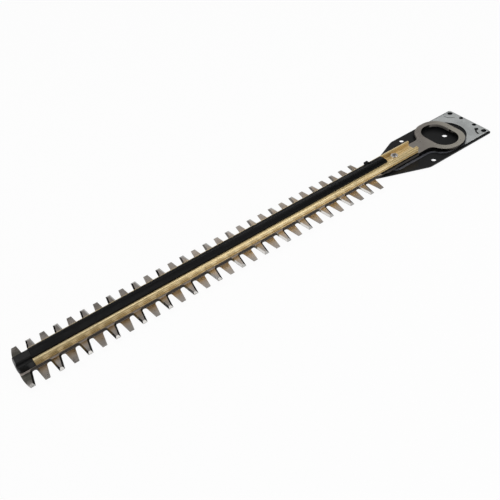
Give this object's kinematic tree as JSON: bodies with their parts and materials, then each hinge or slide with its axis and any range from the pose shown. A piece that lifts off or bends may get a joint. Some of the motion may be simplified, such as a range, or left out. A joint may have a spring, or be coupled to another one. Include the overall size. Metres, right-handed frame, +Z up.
{
  "type": "hedge trimmer blade",
  "caption": "Long double-edged hedge trimmer blade: two toothed sliding blades with yokes under a gold guide bar with a black cover strip, on a pressed base plate.",
  "frame": {"origin": "axis of the base plate's pilot hole, level with the lowest face of the base plate", "axes": "+X from the nose to the drive end, +Z up, out of the side with the guide bar"},
  "size_m": [0.7426, 0.0834, 0.0233],
  "materials": {
    "black_plate": "satin black coating on pressed steel",
    "galvanised_plate": "galvanised steel, brushed",
    "upper_blade_steel": "ground and oiled blade steel",
    "lower_blade_steel": "ground and oiled blade steel",
    "gold_bar": "gold anodised extrusion",
    "black_moulding": "moulded satin black",
    "zinc_steel": "bright zinc plate",
    "turned_steel": "turned and hardened steel"
  },
  "bodies": {
    "bar_assembly": {"base_plate": "black_plate", "end_plate": "galvanised_plate", "guide_bar": "gold_bar", "cover_strip": "black_moulding", "tip_cap": "black_moulding", "blade_bolts": "zinc_steel", "bolt_nuts": "zinc_steel", "spacer_sleeves": "turned_steel", "wear_washers": "turned_steel", "head_washers": "zinc_steel"},
    "upper_cutter": {"upper_blade": "upper_blade_steel"},
    "lower_cutter": {"lower_blade": "lower_blade_steel"}
  },
  "joints": [
    {"name": "upper_blade_slide", "type": "slide", "parent": "bar_assembly", "child": "upper_cutter", "axis": [1, 0, 0], "range_m": [-0.01, 0.01]},
    {"name": "lower_blade_slide", "type": "slide", "parent": "bar_assembly", "child": "lower_cutter", "axis": [1, 0, 0], "range_m": [-0.01, 0.01]}
  ]
}
